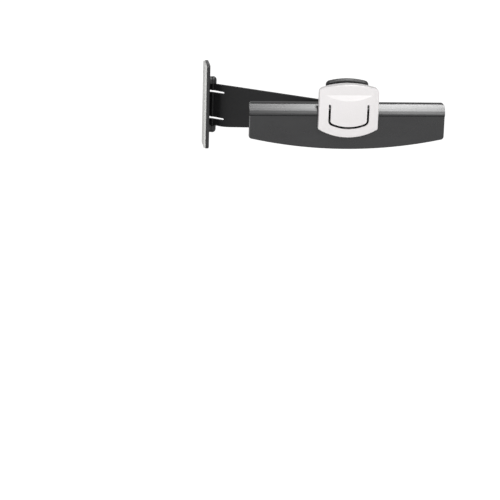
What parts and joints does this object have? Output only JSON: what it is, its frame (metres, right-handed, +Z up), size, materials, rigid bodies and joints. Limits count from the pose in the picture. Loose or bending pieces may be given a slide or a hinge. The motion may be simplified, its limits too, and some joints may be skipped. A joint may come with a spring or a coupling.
{
  "type": "swing arm copy holder",
  "caption": "Copy holder that sticks to the side of a screen: hinged swing arm, swivelling bar with a rolled top, and a sprung clip that holds a sheet against the bar.",
  "frame": {"origin": "centre of the adhesive face that sticks to the side of the screen", "axes": "+X away from the screen's side, +Y towards the back of the screen, +Z up"},
  "size_m": [0.2429, 0.1494, 0.0968],
  "materials": {
    "pad_foam": "matt foam",
    "dark_plastic": "fine matt grain",
    "black_gloss": "polished",
    "silver_white": "satin silver-white paint",
    "nylon": "natural nylon",
    "grip_rubber": "matt",
    "steel": "plated",
    "spring_steel": "drawn wire"
  },
  "bodies": {
    "mount": {"mount_plate": "dark_plastic", "adhesive_pad": "pad_foam"},
    "arm": {"swing_arm": "dark_plastic"},
    "holder": {"document_bar": "black_gloss", "rear_bracket": "dark_plastic", "bracket_screws": "steel", "swivel_pin": "steel", "swivel_washer_upper": "nylon", "swivel_washer_lower": "nylon", "swivel_spring_washer": "steel", "swivel_ring": "steel", "clip_pin": "steel", "clip_pin_ring": "steel", "clip_spring": "spring_steel"},
    "clip": {"clip_lever": "silver_white", "jaw_grip": "grip_rubber"}
  },
  "joints": [
    {"name": "arm_swing", "type": "hinge", "parent": "mount", "child": "arm", "pos_m": [0.01, 0, 0], "axis": [0, 0, 1], "range_deg": [-51.5, 128.5]},
    {"name": "bar_swivel", "type": "hinge", "parent": "arm", "child": "holder", "pos_m": [0.1407, -0.10396, 0], "axis": [0, 0, 1], "range_deg": [-38.5, 141.5]},
    {"name": "clip_squeeze", "type": "hinge", "parent": "holder", "child": "clip", "pos_m": [0.1407, -0.12496, 0.0215], "axis": [-1, 0, 0], "range_deg": [0, 15], "stiffness_Nm_per_rad": 0.15, "springref_deg": -34.38, "deforming": ["clip_spring"]}
  ]
}
